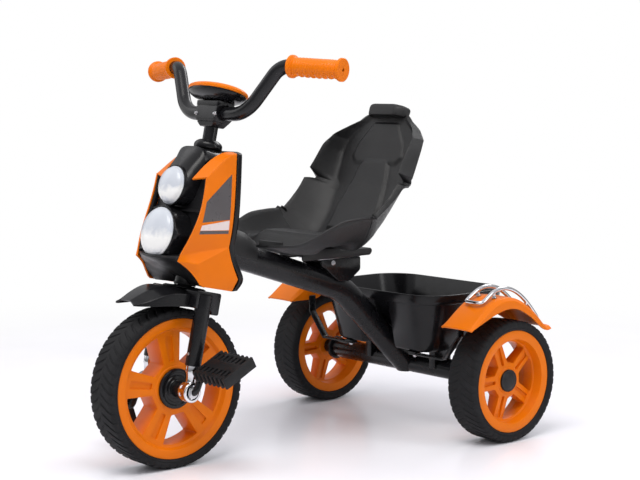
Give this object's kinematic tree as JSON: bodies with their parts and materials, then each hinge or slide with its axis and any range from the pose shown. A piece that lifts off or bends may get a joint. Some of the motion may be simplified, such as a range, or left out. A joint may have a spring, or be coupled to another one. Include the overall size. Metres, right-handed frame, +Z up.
{
  "type": "tricycle",
  "caption": "Child's pedal tricycle with a steered front wheel, lamp fairing, sliding bucket seat, rear basket and rear fenders with rails.",
  "frame": {"origin": "on the ground, at the centre of the footprint's box", "axes": "+Z up, -Y towards the front wheel, +X towards the rider's left"},
  "size_m": [0.519, 0.7627, 0.6387],
  "materials": {
    "painted_steel": "gloss black powder coat",
    "chrome": "polished",
    "zinc_steel": "zinc plated",
    "orange_plastic": "gloss",
    "tyre": "matt",
    "black_gloss_plastic": "gloss",
    "black_satin_plastic": "satin",
    "black_nylon": "matt",
    "lamp_lens": "frosted gloss",
    "lamp_reflector": "bright"
  },
  "bodies": {
    "frame": {"main_tube": "painted_steel", "head_tube": "painted_steel", "tube_saddle": "black_satin_plastic", "axle_tube": "painted_steel", "axle_bush_left": "black_nylon", "axle_bush_right": "black_nylon", "rear_axle": "zinc_steel", "head_bush_upper": "black_nylon", "head_bush_lower": "black_nylon", "headset_collar": "black_gloss_plastic", "fairing_shell_left": "orange_plastic", "fairing_shell_right": "orange_plastic", "fairing_back": "black_gloss_plastic", "fairing_nose": "black_gloss_plastic", "upper_lamp_lens": "lamp_lens", "lower_lamp_lens": "lamp_lens", "upper_lamp_reflector": "lamp_reflector", "lower_lamp_reflector": "lamp_reflector", "seat_bracket": "painted_steel", "seat_rail": "zinc_steel", "basket": "black_gloss_plastic", "basket_carrier": "painted_steel", "fender_stay_left": "painted_steel", "fender_stay_right": "painted_steel", "rear_fender_left": "orange_plastic", "rear_fender_right": "orange_plastic", "fender_rail_left": "chrome", "fender_rail_right": "chrome"},
    "seat": {"seat_slider": "black_satin_plastic", "seat_pan": "black_satin_plastic", "seat_back": "black_satin_plastic", "headrest": "black_satin_plastic"},
    "seat_lever_body": {"seat_lever": "black_satin_plastic"},
    "steering": {"fork_crown": "painted_steel", "fork_leg_left": "painted_steel", "fork_leg_right": "painted_steel", "fork_lug_left": "chrome", "fork_lug_right": "chrome", "steering_column": "painted_steel", "handlebar": "painted_steel", "clamp_body": "painted_steel", "clamp_cap": "painted_steel", "grip_left": "orange_plastic", "grip_right": "orange_plastic", "dash_housing": "black_gloss_plastic", "dash_bezel": "orange_plastic", "front_fender": "black_gloss_plastic"},
    "front_wheel": {"front_tyre": "tyre", "front_rim": "orange_plastic", "hub_disc_left": "black_gloss_plastic", "hub_disc_right": "black_gloss_plastic", "crank_shaft": "painted_steel"},
    "rear_wheel_left": {"rear_tyre_left": "tyre", "rear_rim_left": "orange_plastic", "hub_cap_left": "black_nylon"},
    "rear_wheel_right": {"rear_tyre_right": "tyre", "rear_rim_right": "orange_plastic", "hub_cap_right": "black_nylon"},
    "pedal_left_body": {"pedal_left": "black_nylon"},
    "pedal_right_body": {"pedal_right": "black_nylon"}
  },
  "joints": [
    {"name": "steering", "type": "hinge", "parent": "frame", "child": "steering", "pos_m": [0, -0.2565, 0.125], "axis": [0, 0.2164, 0.9763], "range_deg": [-40, 40]},
    {"name": "front_wheel_spin", "type": "hinge", "parent": "steering", "child": "front_wheel", "pos_m": [0, -0.2565, 0.125], "axis": [1, 0, 0], "continuous": true},
    {"name": "pedal_left_spin", "type": "hinge", "parent": "front_wheel", "child": "pedal_left_body", "pos_m": [0.0825, -0.23799, 0.16657], "axis": [1, 0, 0], "continuous": true},
    {"name": "pedal_right_spin", "type": "hinge", "parent": "front_wheel", "child": "pedal_right_body", "pos_m": [-0.0825, -0.27501, 0.08343], "axis": [1, 0, 0], "continuous": true},
    {"name": "rear_wheel_left_spin", "type": "hinge", "parent": "frame", "child": "rear_wheel_left", "pos_m": [0.226, 0.2665, 0.102], "axis": [1, 0, 0], "continuous": true},
    {"name": "rear_wheel_right_spin", "type": "hinge", "parent": "frame", "child": "rear_wheel_right", "pos_m": [-0.226, 0.2665, 0.102], "axis": [1, 0, 0], "continuous": true},
    {"name": "seat_slide", "type": "slide", "parent": "frame", "child": "seat", "axis": [0, 1, 0], "range_m": [0, 0.04]},
    {"name": "seat_lever", "type": "hinge", "parent": "seat", "child": "seat_lever_body", "pos_m": [0, -0.0305, 0.3222], "axis": [-1, 0, 0], "range_deg": [0, 15], "stiffness_Nm_per_rad": 0.05}
  ]
}
